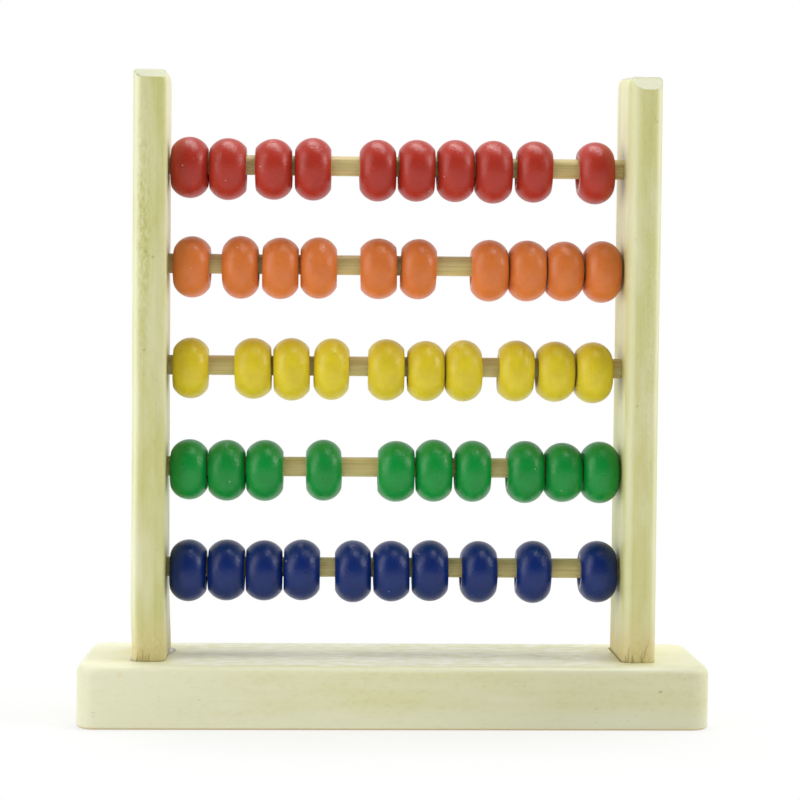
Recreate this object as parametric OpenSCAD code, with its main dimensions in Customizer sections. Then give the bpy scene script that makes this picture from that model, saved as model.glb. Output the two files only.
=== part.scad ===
// Small counting frame of plain wood: a board, two uprights, five rods and ten loose beads on each rod.
// The front faces -Y, the board lies on z = 0, and x = 0 is midway between the uprights.

/* [Board] */
// Length of the board, left to right
board_length = 189; // [182:1:240]
// Depth of the board, front to back
board_depth = 44; // [36:1:70]
// Thickness of the board
board_thickness = 19; // [16:0.5:30]
// Corner radius of the board, seen from above
board_corner = 6; // [4:0.5:12]
// Radius of the round-over along the board's top edge
board_top_round = 2.5; // [1:0.5:3.5]
// Radius of the eased edge under the board
board_foot_round = 1; // [0.5:0.5:3]

/* [Uprights] */
// Height of the whole frame, from the table to the uprights' tops
frame_height = 195.2; // [175:0.2:240]
// Distance from an end of the board to the nearer upright's centre line
upright_inset = 20.5; // [14:0.5:24]
// Width of an upright, seen from the front
upright_width = 10; // [9:0.5:14]
// Depth of an upright, front to back
upright_depth = 29; // [20:1:32]
// Radius of an upright's long edges
upright_edge = 3; // [1.5:0.5:4]
// Size of the bevel along the front and back edges of an upright's top end
top_bevel = 3; // [1.5:0.5:5]
// Radius of the eased edges at the sides of an upright's top end
upright_top_round = 1; // [0.25:0.25:1.25]
// Radius of the eased edge at an upright's foot
upright_foot_round = 0.5; // [0.25:0.25:1.25]
// Length of an upright above the uppermost rod's centre
headroom = 27; // [12:1:40]
// Depth of the mortise that takes an upright's foot
mortise_depth = 12; // [8:1:14]
// Glue gap round an upright's foot in its mortise
mortise_gap = 0.1; // [0.05:0.05:0.3]

/* [Rods] */
// Diameter of a rod
rod_diameter = 6; // [5:0.25:7]
// Height of the lowest rod's centre above the board
lowest_rod = 26.8; // [18:0.2:40]
// How much closer the two uppermost rods stand than the others, which are spread evenly
top_closer = 0.8; // [0:0.2:4]
// Depth of the blind socket that takes a rod's end
socket_depth = 7; // [4:0.5:8]
// Glue gap round a rod in its socket
socket_gap = 0.05; // [0.02:0.01:0.15]
// Gap between a rod's end and the bottom of its socket
rod_end_gap = 0.3; // [0.1:0.1:1]
// Chamfer at a rod's ends
rod_chamfer = 0.5; // [0.2:0.1:1]

/* [Beads] */
// Diameter of a bead
bead_diameter = 19; // [16:0.5:22]
// Thickness of a bead along its rod
bead_thickness = 11.2; // [9:0.1:12.2]
// Diameter of the flat at each end of a bead
bead_flat = 10.9; // [10.2:0.1:13]
// Diameter of the hole through a bead
bead_bore = 8.2; // [7.4:0.1:9]
// Chamfer at both mouths of a bead's hole
bore_chamfer = 0.4; // [0.1:0.1:0.5]
// Gap between the top of a rod and the bead that hangs on it
hang_gap = 0.1; // [0.05:0.05:0.15]
// Least gap between two beads that stand together
touch_gap = 0.3; // [0.2:0.1:0.8]

/* [Hidden] */
$fn = 96;

// How far a cutting shape runs past the surface that it opens
overcut = 1;

// Rows from top to bottom, each with its bead paint
ROWS = ["red", "orange", "yellow", "green", "blue"];
BEAD_PAINT = ["#b04a40", "#d0804a", "#d2c040", "#318a46", "#253a70"];
BEADS_PER_ROD = 10;

// How each rod's spare length is shared out at rest, from the left upright to the right one
SPARE_SHARES = [
    [0.3, 0, 2.4, 0.4, 8.1, 0.3, 0.3, 0.1, 1, 7.3, 2.5],
    [1.1, 3.2, 0.6, 0.1, 6.7, 0.7, 10.1, 0, 0, 0, 0.2],
    [0.9, 7.4, 0.2, 0.7, 5.1, 0.6, 0, 4.6, 0.6, 0.2, 2.4],
    [0.6, 0, 0, 6.4, 10.6, 0.1, 0.4, 4.6, 0, 0, 0],
    [0.5, 0.1, 0, 0, 4.1, 0.2, 0.4, 3.4, 5.4, 8.3, 0.3]
];

// Heights above the table of the rods, and of the floor of the mortises that the uprights stand on
lowest_rod_z = board_thickness + lowest_rod;
top_rod_z = frame_height - headroom;
last_row = len(ROWS) - 1;
row_pitch = (top_rod_z - lowest_rod_z + top_closer) / last_row;
function rod_z(row) = row == 0 ? top_rod_z : lowest_rod_z + (last_row - row) * row_pitch;
mortise_floor = board_thickness - mortise_depth;

// Clear length of a rod between the uprights, and how much of it the beads leave over
upright_spacing = board_length - 2 * upright_inset;
clear_length = upright_spacing - upright_width;
spare_length = clear_length - BEADS_PER_ROD * bead_thickness - (BEADS_PER_ROD + 1) * touch_gap;
rod_length = clear_length + 2 * (socket_depth - rod_end_gap);

// A bead's rim is one arc through the edges of both flats and the bead's greatest diameter
rim_rise = (bead_diameter - bead_flat) / 2;
rim_radius = (pow(bead_thickness / 2, 2) + pow(rim_rise, 2)) / (2 * rim_rise);
bead_drop = (bead_bore - rod_diameter) / 2 - hang_gap;

// Adds up the first few numbers of a list
function sum_first(list, count) = count == 0 ? 0 : list[count - 1] + sum_first(list, count - 1);
// The part of a rod's spare length that lies to the left of a bead
function spare_before(row, place) =
    let (shares = SPARE_SHARES[row])
    spare_length * sum_first(shares, place + 1) / sum_first(shares, len(shares));
// The place of a bead's middle along its rod
function bead_x(row, place) =
    -clear_length / 2 + bead_thickness / 2 + place * bead_thickness
    + (place + 1) * touch_gap + spare_before(row, place);

function rod_name(row) = str(ROWS[row], "_rod");
function bead_name(row, place) = str(ROWS[row], "_bead_", place + 1);

// A quarter of a disc, from +X to +Y
module quarter_disc(radius) {
    intersection() {
        circle(radius);
        square(radius);
    }
}

// Half section across a rounded edge: x runs outwards from where the edge begins, y is height
module edge_section(reach, height, top_round, foot_round) {
    translate([0, height - top_round])
        square([reach - top_round, top_round]);
    translate([reach - top_round, height - top_round])
        quarter_disc(top_round);
    translate([0, foot_round])
        square([reach, height - top_round - foot_round]);
    square([reach - foot_round, foot_round]);
    translate([reach - foot_round, foot_round])
        mirror([0, 1])
            quarter_disc(foot_round);
}

// An upright block with round corners in plan and rounded edges at its top and foot, centred on the Z axis
module eased_block(size, corner, top_round, foot_round) {
    flat = [size[0] - 2 * corner, size[1] - 2 * corner];
    translate([-flat[0] / 2, -flat[1] / 2, 0])
        cube([flat[0], flat[1], size[2]]);
    for (quarter = [0:3]) {
        along = flat[quarter % 2];
        across = flat[(quarter + 1) % 2];
        rotate([0, 0, 90 * quarter]) {
            translate([along / 2, across / 2, 0])
                rotate_extrude(angle = 90)
                    edge_section(corner, size[2], top_round, foot_round);
            translate([along / 2, across / 2, 0])
                rotate([90, 0, 0])
                    linear_extrude(across)
                        edge_section(corner, size[2], top_round, foot_round);
        }
    }
}

// The pocket for an upright's foot, a glue gap larger all round and open at the top
module mortise(side) {
    corner = upright_edge + mortise_gap;
    flat = [upright_width - 2 * upright_edge, upright_depth - 2 * upright_edge];
    translate([side * upright_spacing / 2, 0, mortise_floor])
        linear_extrude(mortise_depth + overcut) {
            square([flat[0], flat[1] + 2 * corner], center = true);
            for (end = [-1, 1]) {
                translate([end * (flat[0] + corner) / 2, 0])
                    square([corner, flat[1]], center = true);
                for (face = [0, 1])
                    mirror([0, face])
                        mirror([end < 0 ? 1 : 0, 0])
                            translate([flat[0] / 2, flat[1] / 2])
                                quarter_disc(corner);
            }
        }
}

// The board that the frame stands on
module board() {
    color("#e6dfbd")
        difference() {
            eased_block([board_length, board_depth, board_thickness],
                board_corner, board_top_round, board_foot_round);
            mortise(-1);
            mortise(1);
        }
}

// The slanted cut along the front or back edge of an upright's top end, a square bar that stands on its edge
module top_cut(side, face) {
    bar = top_bevel * sqrt(2);
    translate([side * upright_spacing / 2, face * upright_depth / 2, frame_height])
        rotate([45, 0, 0])
            cube([upright_width + 2 * overcut, bar, bar], center = true);
}

// One upright, with a bevelled top end and a blind socket for each rod in its inner face
module upright(side) {
    color("#e0d9b0")
        difference() {
            translate([side * upright_spacing / 2, 0, mortise_floor])
                eased_block([upright_width, upright_depth, frame_height - mortise_floor],
                    upright_edge, upright_top_round, upright_foot_round);
            for (face = [-1, 1])
                top_cut(side, face);
            for (row = [0:last_row])
                translate([side * clear_length / 2, 0, rod_z(row)])
                    rotate([0, side * 90, 0])
                        translate([0, 0, -overcut])
                            cylinder(h = socket_depth + overcut, d = rod_diameter + 2 * socket_gap);
        }
}

// One rod, glued into a socket at each end
module rod(row) {
    straight = rod_length - 2 * rod_chamfer;
    tip_diameter = rod_diameter - 2 * rod_chamfer;
    color("#b5a06a")
        translate([0, 0, rod_z(row)])
            rotate([0, 90, 0]) {
                cylinder(h = straight, d = rod_diameter, center = true);
                for (end = [0, 1])
                    mirror([0, 0, end])
                        translate([0, 0, straight / 2])
                            cylinder(h = rod_chamfer, d1 = rod_diameter, d2 = tip_diameter);
            }
}

// Half section of a bead: x is the distance from its axis, y runs along the axis
module bead_section() {
    reach = bore_chamfer + overcut;
    difference() {
        intersection() {
            translate([bead_diameter / 2 - rim_radius, 0])
                circle(rim_radius);
            translate([bead_bore / 2, -bead_thickness / 2])
                square([bead_diameter, bead_thickness]);
        }
        for (mouth = [0, 1])
            mirror([0, mouth])
                translate([bead_bore / 2, bead_thickness / 2])
                    polygon([[-overcut, overcut], [-overcut, -reach], [reach, overcut]]);
    }
}

// One bead, hanging loosely on its rod at the place where it rests
module bead(row, place) {
    color(BEAD_PAINT[row])
        translate([bead_x(row, place), 0, rod_z(row) - bead_drop])
            rotate([0, 90, 0])
                rotate_extrude()
                    bead_section();
}

board();
upright(-1);  // left_upright
upright(1);  // right_upright
for (row = [0:last_row]) {
    rod(row);
    for (place = [0:BEADS_PER_ROD - 1])
        bead(row, place);
}
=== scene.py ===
# %% [markdown]
# # A small wooden abacus
# The toy is a pale wooden board with two uprights, five bamboo rods between them and ten painted beads on
# each rod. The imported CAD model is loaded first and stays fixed. Every piece that is made here takes its
# place and main sizes from it, so the beads still slide on their rods when the CAD bodies move.

# %% Load the frame
import math

import bmesh
import bpy
import numpy as np
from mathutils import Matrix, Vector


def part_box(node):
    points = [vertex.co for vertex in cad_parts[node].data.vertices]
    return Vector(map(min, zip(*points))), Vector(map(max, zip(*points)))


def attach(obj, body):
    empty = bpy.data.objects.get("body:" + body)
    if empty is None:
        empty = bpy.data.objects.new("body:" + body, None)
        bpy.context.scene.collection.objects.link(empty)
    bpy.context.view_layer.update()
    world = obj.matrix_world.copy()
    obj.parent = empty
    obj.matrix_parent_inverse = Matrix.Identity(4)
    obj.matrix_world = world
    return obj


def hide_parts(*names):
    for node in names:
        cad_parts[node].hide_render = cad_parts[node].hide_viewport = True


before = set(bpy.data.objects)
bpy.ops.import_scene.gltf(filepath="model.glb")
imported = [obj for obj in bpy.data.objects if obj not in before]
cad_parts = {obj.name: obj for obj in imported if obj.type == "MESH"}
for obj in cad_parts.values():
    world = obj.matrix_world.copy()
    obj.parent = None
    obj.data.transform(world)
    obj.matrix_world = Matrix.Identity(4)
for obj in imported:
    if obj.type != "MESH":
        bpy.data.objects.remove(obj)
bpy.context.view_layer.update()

MM = 0.001
ROWS = ["red", "orange", "yellow", "green", "blue"]
BEADS_PER_ROD = 10


def millimetres(corners):
    """Two corners of a box, in metres, as two arrays in millimetres."""
    low, high = corners
    return np.array(low) / MM, np.array(high) / MM


# %% [markdown]
# ## The camera
# The photograph was taken from just in front and a little left of the middle, below the uprights' tops
# and slightly downwards. A camera can be aimed by eye or worked out. Here it was worked out: the place,
# the turn and the focal length below bring the rods, the uprights and the board's edges onto the same
# pixels as in the photograph, so no lens shift is needed.

# %% Camera
CAMERA_PLACE = np.array([-20.85, -581.86, 119.82])
YAW, PITCH, ROLL = np.radians([2.206, 2.223, 0.556])
SENSOR = 36.0
FOCAL_LENGTH = 85.7
NEAREST, FARTHEST = 0.05, 50


def stand(thing, right, up, back, place):
    """Links a camera or a lamp, with its own x, y and z axes along three directions, at a place in
    metres."""
    matrix = np.eye(4)
    matrix[:3, :] = np.stack([right, up, back, place], axis=1)
    bpy.context.scene.collection.objects.link(thing)
    thing.matrix_world = matrix.T.tolist()


ahead = np.array([math.sin(YAW) * math.cos(PITCH), math.cos(YAW) * math.cos(PITCH), -math.sin(PITCH)])
level = np.array([math.cos(YAW), -math.sin(YAW), 0.0])
above = np.cross(level, ahead)
right = math.cos(ROLL) * level + math.sin(ROLL) * above
up = math.cos(ROLL) * above - math.sin(ROLL) * level

camera = bpy.data.objects.new("camera", bpy.data.cameras.new("camera"))
stand(camera, right, up, -ahead, CAMERA_PLACE * MM)
camera.data.sensor_width, camera.data.lens = SENSOR, FOCAL_LENGTH
camera.data.clip_start, camera.data.clip_end = NEAREST, FARTHEST
bpy.context.scene.camera = camera
print("camera", CAMERA_PLACE, "mm, lens", FOCAL_LENGTH, "mm")

# %% [markdown]
# ## Helpers for surfaces
# Every piece is a grid of points: rows run along a profile, and columns close into a ring round the
# piece. One helper joins a grid into quads, and another turns it into a Blender object. The volume that a
# piece holds shows whether its faces point outwards.

# %% Grids into meshes
WELD = 1e-7


def ring_faces(rows, columns, closed=False):
    """Quads between each row of points and the next, with the last column joined to the first. With
    closed, the last row is joined to the first as well, as on a torus."""
    index = np.arange(rows * columns).reshape(rows, columns)
    if closed:
        index = np.vstack([index, index[:1]])
    near, far = index[:-1], index[1:]
    return np.stack([near, np.roll(near, -1, 1), np.roll(far, -1, 1), far], axis=-1).reshape(-1, 4)


def add_piece(name, points, faces, marks=None, caps=()):
    """An object from points in millimetres, quads, and flat caps given as rings of point numbers. Points
    that fall together, as where a ring shrinks to a line, are merged, so seams and poles are closed.
    Marks are numbers kept at each point, which the materials read by name."""
    mesh = bpy.data.meshes.new(name)
    polygons = faces.tolist() + [ring.tolist() for ring in caps]
    mesh.from_pydata((points.reshape(-1, 3) * MM).tolist(), [], polygons)
    for mark, values in (marks or {}).items():
        kept = mesh.attributes.new(mark, "FLOAT", "POINT")
        kept.data.foreach_set("value", values.reshape(-1).astype(np.float32))
    welded = bmesh.new()
    welded.from_mesh(mesh)
    bmesh.ops.remove_doubles(welded, verts=welded.verts, dist=WELD)
    welded.to_mesh(mesh)
    welded.free()
    mesh.shade_smooth()
    piece = bpy.data.objects.new(name, mesh)
    bpy.context.scene.collection.objects.link(piece)
    return piece


def volume(mesh):
    """Volume that a closed mesh holds in cubic millimetres, by adding up pyramids to the origin. It is
    negative where the faces point inwards."""
    mesh.calc_loop_triangles()
    corners = np.zeros(3 * len(mesh.loop_triangles), np.int32)
    mesh.loop_triangles.foreach_get("vertices", corners)
    points = np.zeros(3 * len(mesh.vertices))
    mesh.vertices.foreach_get("co", points)
    a, b, c = points.reshape(-1, 3)[corners.reshape(-1, 3).T] / MM
    return float(np.einsum("ij,ij->i", a, np.cross(b, c)).sum() / 6)


print("a ring of 3 rows and 8 columns has", len(ring_faces(3, 8)), "quads")

# %% [markdown]
# Nothing made by hand is quite even. Two formulas give the unevenness: a sum of sine waves for sanding
# and paint that swell and sink, and a smooth step for marks that set in at one place and are full at
# another.

# %% Waves and steps


def ripple(points, wavelength, seed, waves=7):
    """Smooth relief between about -1 and 1 at points in millimetres: the mean of sine waves in random
    directions, each between one and three wavelengths long."""
    dice = np.random.default_rng(seed)
    directions = dice.normal(size=(waves, 3))
    directions /= np.linalg.norm(directions, axis=1, keepdims=True)
    lengths = wavelength * dice.uniform(1, 3, waves)
    phases = dice.uniform(0, 2 * np.pi, waves)
    waving = np.sin(2 * np.pi * (points @ directions.T) / lengths + phases)
    return waving.mean(axis=-1) * math.sqrt(waves) / 2


def fade(value, start, end):
    """0 up to start and 1 from end on, with an S-shaped step between them. Start may be the larger
    one."""
    t = np.clip((value - start) / (end - start), 0, 1)
    return t * t * (3 - 2 * t)


print("a step from 0 to 4 is at", fade(1.0, 0, 4), "after 1 and at", fade(3.0, 0, 4), "after 3")

# %% [markdown]
# ## Helpers for materials
# Colours are written as sRGB hex values, as a paint chart gives them, and Blender's shaders want linear
# light. One function turns one into the other, and one adds a shader node. A finish is then a stack of
# layers: each has a colour, and a share that follows a pattern. The patterns, shares and colours stand in
# tables beside each material, so a material reads as a list of what its surface is made of.

# %% Colours and nodes


def colour(code):
    """An sRGB hex value such as #c8b890 as linear red, green, blue and an alpha of 1."""
    value = np.array([int(code[i:i + 2], 16) for i in (1, 3, 5)]) / 255
    linear = np.where(value <= 0.04045, value / 12.92, ((value + 0.055) / 1.055) ** 2.4)
    return (*linear.tolist(), 1.0)


def add_node(tree, kind, sockets, **settings):
    """Adds a node. Settings are its own options, and sockets gives each input a number, a colour or
    another node's output to follow."""
    node = tree.nodes.new(kind)
    for option, value in settings.items():
        setattr(node, option, value)
    for socket, value in sockets.items():
        if isinstance(value, bpy.types.NodeSocket):
            tree.links.new(value, node.inputs[socket])
        else:
            node.inputs[socket].default_value = value
    return node


def new_material(name):
    """A material with its node tree and its Principled shader."""
    material = bpy.data.materials.new(name)
    material.use_nodes = True
    return material, material.node_tree, material.node_tree.nodes["Principled BSDF"]


print("#808080 is", round(colour("#808080")[0], 4), "in linear light")

# %% Layers


def layer_shares(tree, patterns, ranges, masks=()):
    """How much of each layer shows. A range names the pattern that the share follows, the values of that
    pattern where the share begins and where it is full, and how large it then is. A mask names a share
    and the share or pattern that it is multiplied by."""
    shares = dict(patterns)
    for layer, (pattern, start, end, most) in ranges.items():
        ramp = {"Value": patterns[pattern], 1: start, 2: end, 3: 0.0, 4: most}
        shares[layer] = add_node(tree, "ShaderNodeMapRange", ramp).outputs[0]
    for layer, mask in masks:
        pair = {0: shares[layer], 1: shares[mask]}
        shares[layer] = add_node(tree, "ShaderNodeMath", pair, operation="MULTIPLY").outputs[0]
    return shares


def coat_with(tree, surface, shares, tints):
    """Lays one colour after another over a surface, each as far as its share says."""
    for layer, tint in tints.items():
        sockets = {0: shares[layer], 6: surface, 7: colour(tint)}
        surface = add_node(tree, "ShaderNodeMix", sockets, data_type="RGBA").outputs[2]
    return surface


print("layer helpers ready")

# %% [markdown]
# ## Pale wood
# The board and the uprights are sawn and sanded from a pale, close-grained wood such as basswood, under a
# thin matt clear coat. Flat colour with a stripe texture would look printed on, because the stripes would
# not turn into rings at the sawn ends. So the wood is a solid pattern: growth rings round a pith that
# lies outside the piece, fibres along it, soft blotches and small flecks. Whatever face is cut shows the
# right grain. The marks come from each piece and say where its wood is stained, torn by the saw or split,
# and where light and shade are painted into it: paler at an edge, partly as a painted highlight, lighter
# or darker as painted light and painted shade, and a painted contact shadow along the board's foot.

# %% Wood patterns
# the size of each pattern's lumps along and across the grain, in millimetres; single fibres are
# hundredths of a millimetre wide, and are drawn in bundles of half a millimetre so that they show
WOOD_SIZES = {
    "rings": (12.0, 1.0, 1.0),
    "flecks": (2.4, 0.8, 0.8),
    "fibres": (26.0, 0.5, 0.5),
    "blotches": (34.0, 8.0, 8.0),
    "mottle": (2.4, 1.2, 1.2),
    "torn_lumps": (1.6, 0.6, 0.6),
    "streaks": (6.0, 2.4, 2.4),
}
# width of a growth ring, so the rings' own entry above is only their stretch along the grain
RING_WIDTH = 3.4
# how finely each cloudy pattern breaks up
WOOD_DETAIL = {"fibres": 3.0, "blotches": 2.0, "mottle": 2.0, "torn_lumps": 2.0, "streaks": 6.0}
WOOD_MARKS = ("stain_and_painted_shade", "tear", "crack_and_painted_shade", "edge", "painted_shade")
# over this distance the worn part of a top gives way to the rest
WORN_FADE = 14.0
print(len(WOOD_SIZES), "wood patterns")

# %% Wood layers
# the pattern that each share follows, the values of it where the share begins and where it is full, and
# how large the share then is
WOOD_RANGES = {
    "late_wood": ("rings", 0.35, 1.0, 0.30),
    "fibre": ("fibres", 0.45, 0.80, 0.30),
    "warm": ("mottle", 0.50, 0.68, 0.35),
    "light": ("blotches", 0.45, 0.75, 0.45),
    "fleck": ("from_fleck", 0.30, 0.10, 1.0),
    "chosen": ("lot", 0.93, 0.99, 0.35),
    "lifted": ("torn_lumps", 0.46, 0.32, 0.6),
    "torn": ("torn_lumps", 0.54, 0.70, 0.45),
    "level": ("upwards", 0.90, 0.99, 1.0),
    "rubbed": ("inside", 0.0, WORN_FADE, 1.0),
    "bare": ("streaks", 0.50, 0.66, 0.30),
    "painted_sheen_streaks": ("streaks", 0.56, 0.36, 0.75),
}
# flecks stand in a few chosen cells, torn grain is part sunk and part lifted, and hands have rubbed the
# level top into streaks of bare wood, between pale streaks that are a painted sheen
WOOD_MASKS = (("fleck", "chosen"), ("lifted", "tear"), ("torn", "tear"), ("rubbed", "level"),
              ("bare", "rubbed"), ("painted_sheen_streaks", "rubbed"))
# the stain and crack tints also paint a contact shadow, the edge tint paints highlights and sheen as well as
# sanded edges, and the greyish tint paints shade
WOOD_TINTS = {
    "light": "#f3f0d8", "edge": "#eff2db", "painted_shade": "#bcbe9d", "fleck": "#b7a05e", "lifted": "#f0edd2",
    "torn": "#9d8f58", "bare": "#c8d4b8", "painted_sheen_streaks": "#f7f7ee", "stain_and_painted_shade": "#e2cc90", "crack_and_painted_shade": "#7d5f2e",
}
print(len(WOOD_TINTS), "layers of wood beside its three main colours")

# %% Patterns in the wood


def wood_patterns(tree, turn, pith, worn):
    """Patterns in the wood, by name, with the grain along x after the turn and the pith at a place in
    millimetres across the grain. The pattern inside is how far a point lies within the worn part of the
    length."""
    place = add_node(tree, "ShaderNodeTexCoord", {}).outputs["Object"]
    spread = {"Vector": place, "Scale": (1 / MM,) * 3, "Rotation": turn, "Location": pith}
    place = add_node(tree, "ShaderNodeMapping", spread).outputs["Vector"]
    grid = {}
    for pattern, size in WOOD_SIZES.items():
        scaled = {0: place, 1: tuple(1 / s for s in size)}
        grid[pattern] = add_node(tree, "ShaderNodeVectorMath", scaled, operation="MULTIPLY").outputs["Vector"]

    patterns = {}
    for mark in WOOD_MARKS:
        patterns[mark] = add_node(tree, "ShaderNodeAttribute", {}, attribute_name=mark).outputs["Fac"]
    for pattern, detail in WOOD_DETAIL.items():
        cloud = {"Vector": grid[pattern], "Scale": 1.0, "Detail": detail, "Roughness": 0.6}
        patterns[pattern] = add_node(tree, "ShaderNodeTexNoise", cloud).outputs["Fac"]
    rings = {"Vector": grid["rings"], "Scale": math.pi / 10 / RING_WIDTH, "Distortion": 2.2, "Detail": 2.0,
             "Detail Scale": 0.35}
    patterns["rings"] = add_node(tree, "ShaderNodeTexWave", rings, wave_type="RINGS", rings_direction="X",
                                 wave_profile="SAW").outputs["Fac"]
    cells = add_node(tree, "ShaderNodeTexVoronoi",
                     {"Vector": grid["flecks"], "Scale": 1.0, "Randomness": 1.0}).outputs
    # a lot drawn for each cell decides whether it has a fleck in its middle
    patterns["from_fleck"] = cells["Distance"]
    patterns["lot"] = add_node(tree, "ShaderNodeSeparateColor", {"Color": cells["Color"]}).outputs["Red"]

    normal = add_node(tree, "ShaderNodeNewGeometry", {}).outputs["Normal"]
    patterns["upwards"] = add_node(tree, "ShaderNodeSeparateXYZ", {"Vector": normal}).outputs["Z"]
    along = add_node(tree, "ShaderNodeSeparateXYZ", {"Vector": place}).outputs["X"]
    along = add_node(tree, "ShaderNodeMath", {0: along}, operation="ABSOLUTE").outputs[0]
    inside = {0: worn, 1: along}
    patterns["inside"] = add_node(tree, "ShaderNodeMath", inside, operation="SUBTRACT").outputs[0]
    return patterns


print("patterns follow", len(WOOD_MARKS), "marks:", ", ".join(WOOD_MARKS))

# %% Wood material
# roughness of the matt coat from the hardest to the softest fibres, and what torn grain adds to it
WOOD_ROUGHNESS, TORN_ROUGHNESS = (0.34, 0.46), 0.25
WOOD_IOR = 1.5
# how far the fibres stand up in millimetres, and how many times deeper torn and split wood lies
FIBRE_RELIEF, SUNK = 0.06, -4.0


def sawn_wood(name, pale, late, warm, turn, pith, grain=1.0, worn=0.0):
    """Wood in its three main colours, whose rings and fibres are this clear. Its top is worn up to a
    distance from the middle, where hands and beads have rubbed it, with a painted sheen in pale streaks."""
    material, tree, shader = new_material(name)
    patterns = wood_patterns(tree, turn, pith, worn)
    ranges = dict(WOOD_RANGES)
    for layer in ("late_wood", "fibre"):
        pattern, start, end, most = ranges[layer]
        ranges[layer] = pattern, start, end, most * grain
    shares = layer_shares(tree, patterns, ranges, WOOD_MASKS)
    tints = {"late_wood": late, "fibre": late, "warm": warm, **WOOD_TINTS}
    tree.links.new(coat_with(tree, colour(pale), shares, tints), shader.inputs["Base Color"])

    hard, soft = WOOD_ROUGHNESS
    shine = {"Value": patterns["fibres"], 1: 0.3, 2: 0.7, 3: hard, 4: soft}
    shine = add_node(tree, "ShaderNodeMapRange", shine).outputs[0]
    shine = {0: patterns["tear"], 1: TORN_ROUGHNESS, 2: shine}
    shine = add_node(tree, "ShaderNodeMath", shine, operation="MULTIPLY_ADD").outputs[0]
    tree.links.new(shine, shader.inputs["Roughness"])
    shader.inputs["IOR"].default_value = WOOD_IOR

    relief = patterns["fibres"]
    for share in (shares["torn"], patterns["crack_and_painted_shade"]):
        relief = {0: share, 1: SUNK, 2: relief}
        relief = add_node(tree, "ShaderNodeMath", relief, operation="MULTIPLY_ADD").outputs[0]
    bump = {"Height": relief, "Strength": 0.6, "Distance": FIBRE_RELIEF * MM}
    bump = add_node(tree, "ShaderNodeBump", bump)
    tree.links.new(bump.outputs["Normal"], shader.inputs["Normal"])
    return material


ALONG_X, ALONG_Z = (0.0, 0.0, 0.0), (0.0, math.pi / 2, 0.0)
board_wood = sawn_wood("basswood_board_sanded_matt_coat", "#e4e1b0", "#d2ce92", "#d3cd84",
                       ALONG_X, (0.0, 12.0, 48.0), grain=0.4, worn=76.0)
upright_wood = {
    "left": sawn_wood("basswood_left_upright_sanded_matt_coat", "#d1d08d", "#c0bd72", "#c6c274",
                      ALONG_Z, (0.0, 40.0, 20.0)),
    "right": sawn_wood("basswood_right_upright_sanded_matt_coat", "#d4d28f", "#c2bf74", "#c9c578",
                       ALONG_Z, (0.0, -36.0, -115.0)),
}
print("wood materials", board_wood.name, *(wood.name for wood in upright_wood.values()))

# %% [markdown]
# ## Bamboo
# The rods are split bamboo turned to a dowel and left bare. Bamboo has no rings: its strength is in dark
# bundles of fibre that run straight along the stem in a paler ground. A picture of bamboo wrapped round
# the rod would show a seam, so the bundles are noise that is stretched along the rod. They are about 0.2
# mm wide on the real rod, and are drawn at 0.4 mm here, so that they show at the photograph's size.

# %% Bamboo material
# a bundle's length and its two widths, and a pale patch's size, in millimetres
BUNDLE, PALE_PATCH = (45.0, 0.4, 0.4), 11.1
BAMBOO_RANGES = {"pale": ("patches", 0.4, 0.7, 0.5), "dark": ("bundles", 0.42, 0.72, 0.6)}
BAMBOO_TINTS = {"pale": "#dfd194", "dark": "#ad9857"}
BAMBOO_ROUGHNESS, BAMBOO_IOR, BUNDLE_RELIEF = 0.5, 1.5, 0.08


def split_bamboo(name, ground):
    """Bare bamboo with its fibre bundles along x in a ground of this colour."""
    material, tree, shader = new_material(name)
    place = add_node(tree, "ShaderNodeTexCoord", {}).outputs["Object"]
    grain = {0: place, 1: tuple(1 / MM / s for s in BUNDLE)}
    grain = add_node(tree, "ShaderNodeVectorMath", grain, operation="MULTIPLY").outputs["Vector"]
    bundles = {"Vector": grain, "Scale": 1.0, "Detail": 3.0, "Roughness": 0.65}
    patches = {"Vector": place, "Scale": 1 / (PALE_PATCH * MM), "Detail": 1.0}
    patterns = {"bundles": add_node(tree, "ShaderNodeTexNoise", bundles).outputs["Fac"],
                "patches": add_node(tree, "ShaderNodeTexNoise", patches).outputs["Fac"]}
    shares = layer_shares(tree, patterns, BAMBOO_RANGES)
    tree.links.new(coat_with(tree, colour(ground), shares, BAMBOO_TINTS), shader.inputs["Base Color"])
    shader.inputs["Roughness"].default_value = BAMBOO_ROUGHNESS
    shader.inputs["IOR"].default_value = BAMBOO_IOR
    bump = add_node(tree, "ShaderNodeBump",
                    {"Height": patterns["bundles"], "Strength": 0.6, "Distance": BUNDLE_RELIEF * MM})
    tree.links.new(bump.outputs["Normal"], shader.inputs["Normal"])
    return material


bamboo = split_bamboo("split_bamboo_dowel_bare", "#d6c680")
print("bamboo material", bamboo.name)

# %% [markdown]
# ## Bead paint
# The beads are turned wood dipped in a satin enamel. One smooth colour would look like moulded plastic.
# The paint is even in colour but not in surface: it is a little wavy like orange peel, has small dimples
# over the wood's pores, and is rubbed paler where the beads knock together. Each bead carries a tone of
# its own, because no two were dipped alike.

# %% Patterns in the paint
# sizes in millimetres of the orange peel and of the clouds of thicker paint, and the spacing of the
# dimples; a dimple is drawn several times as wide as a real pore, so that it shows
PEEL, CLOUD, PORE_SPACING = 0.7, 4.0, 2.2
PAINT_RANGES = {
    "thick": ("clouds", 0.35, 0.70, 0.45),
    "rubbed": ("peel", 0.45, 0.62, 1.0),
    "dimple": ("from_pore", 0.26, 0.08, 1.0),
    "open_pore": ("pore_lot", 0.45, 0.60, 1.0),
    "nick": ("from_pore", 0.10, 0.05, 1.0),
    "chipped": ("nick_lot", 0.94, 0.96, 1.0),
}
# about half of the cells have a dimple in the middle, and one in twenty a nick down to pale wood
PAINT_MASKS = (("rubbed", "rub"), ("dimple", "open_pore"), ("nick", "chipped"))
PAINT_MARKS = ("tone", "rub")


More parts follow.
